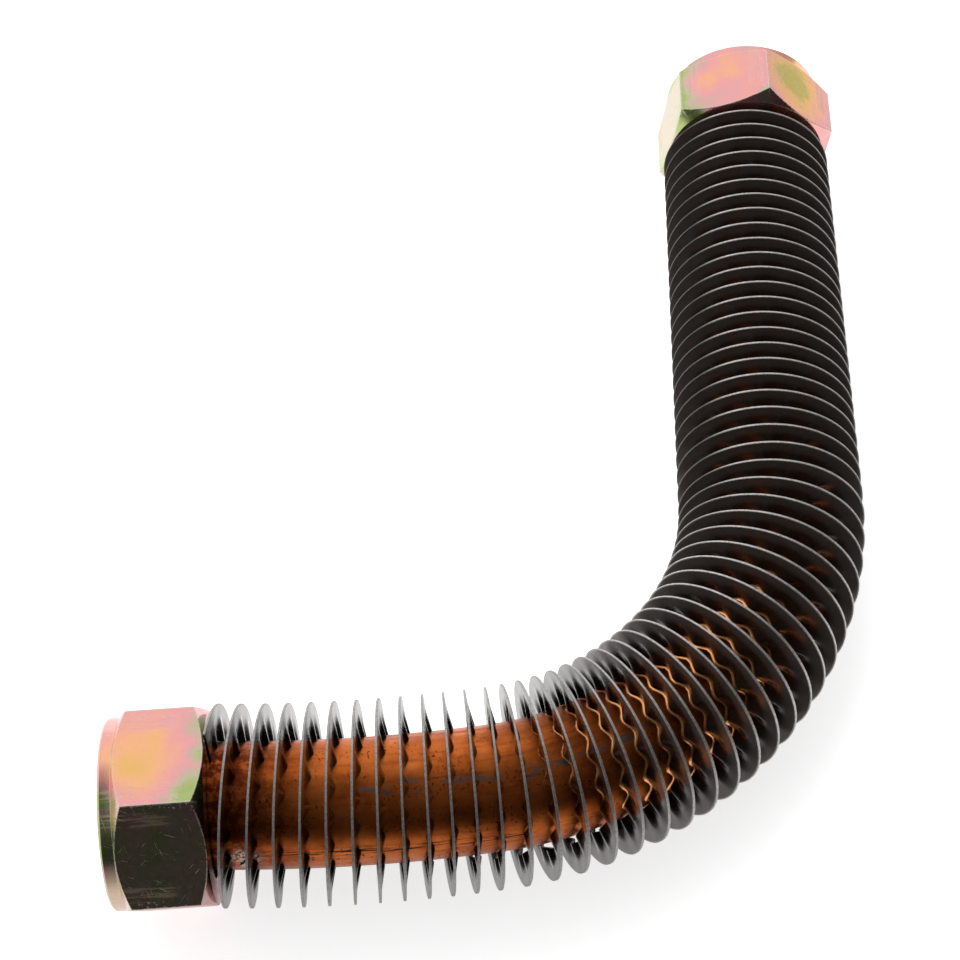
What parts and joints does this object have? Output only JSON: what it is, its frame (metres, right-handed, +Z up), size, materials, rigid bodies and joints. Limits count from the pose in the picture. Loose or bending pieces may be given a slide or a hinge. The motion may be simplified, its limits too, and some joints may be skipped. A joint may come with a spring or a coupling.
{
  "type": "finned compressor discharge tube",
  "caption": "Bent copper discharge tube for an air compressor, wound with a crimped steel cooling fin, with a loose union nut at each end.",
  "frame": {"origin": "middle of the footprint, at the height of the lowest point as the tube lies flat", "axes": "+Z up; the lower arm starts along +X, the tube bends to the left and the upper arm ends along +Y"},
  "size_m": [0.137, 0.1946, 0.0379],
  "materials": {
    "copper": "drawn copper, lightly oxidised and speckled",
    "fin_steel": "bright rolled steel strip",
    "solder": "dull solder",
    "yellow_zinc": "yellow iridescent zinc plate"
  },
  "bodies": {
    "finned_tube": {"copper_tube": "copper", "fin_strip": "fin_steel", "lower_solder_tack": "solder", "upper_solder_tack": "solder"},
    "lower_nut": {"lower_union_nut": "yellow_zinc"},
    "upper_nut": {"upper_union_nut": "yellow_zinc"}
  },
  "joints": [
    {"name": "lower_nut_spin", "type": "hinge", "parent": "finned_tube", "child": "lower_nut", "pos_m": [-0.04942, -0.07702, 0.01756], "axis": [-0.9956, -0.0939, 0], "continuous": true},
    {"name": "upper_nut_spin", "type": "hinge", "parent": "finned_tube", "child": "upper_nut", "pos_m": [0.05035, 0.07967, 0.019], "axis": [0, 1, 0], "continuous": true}
  ]
}
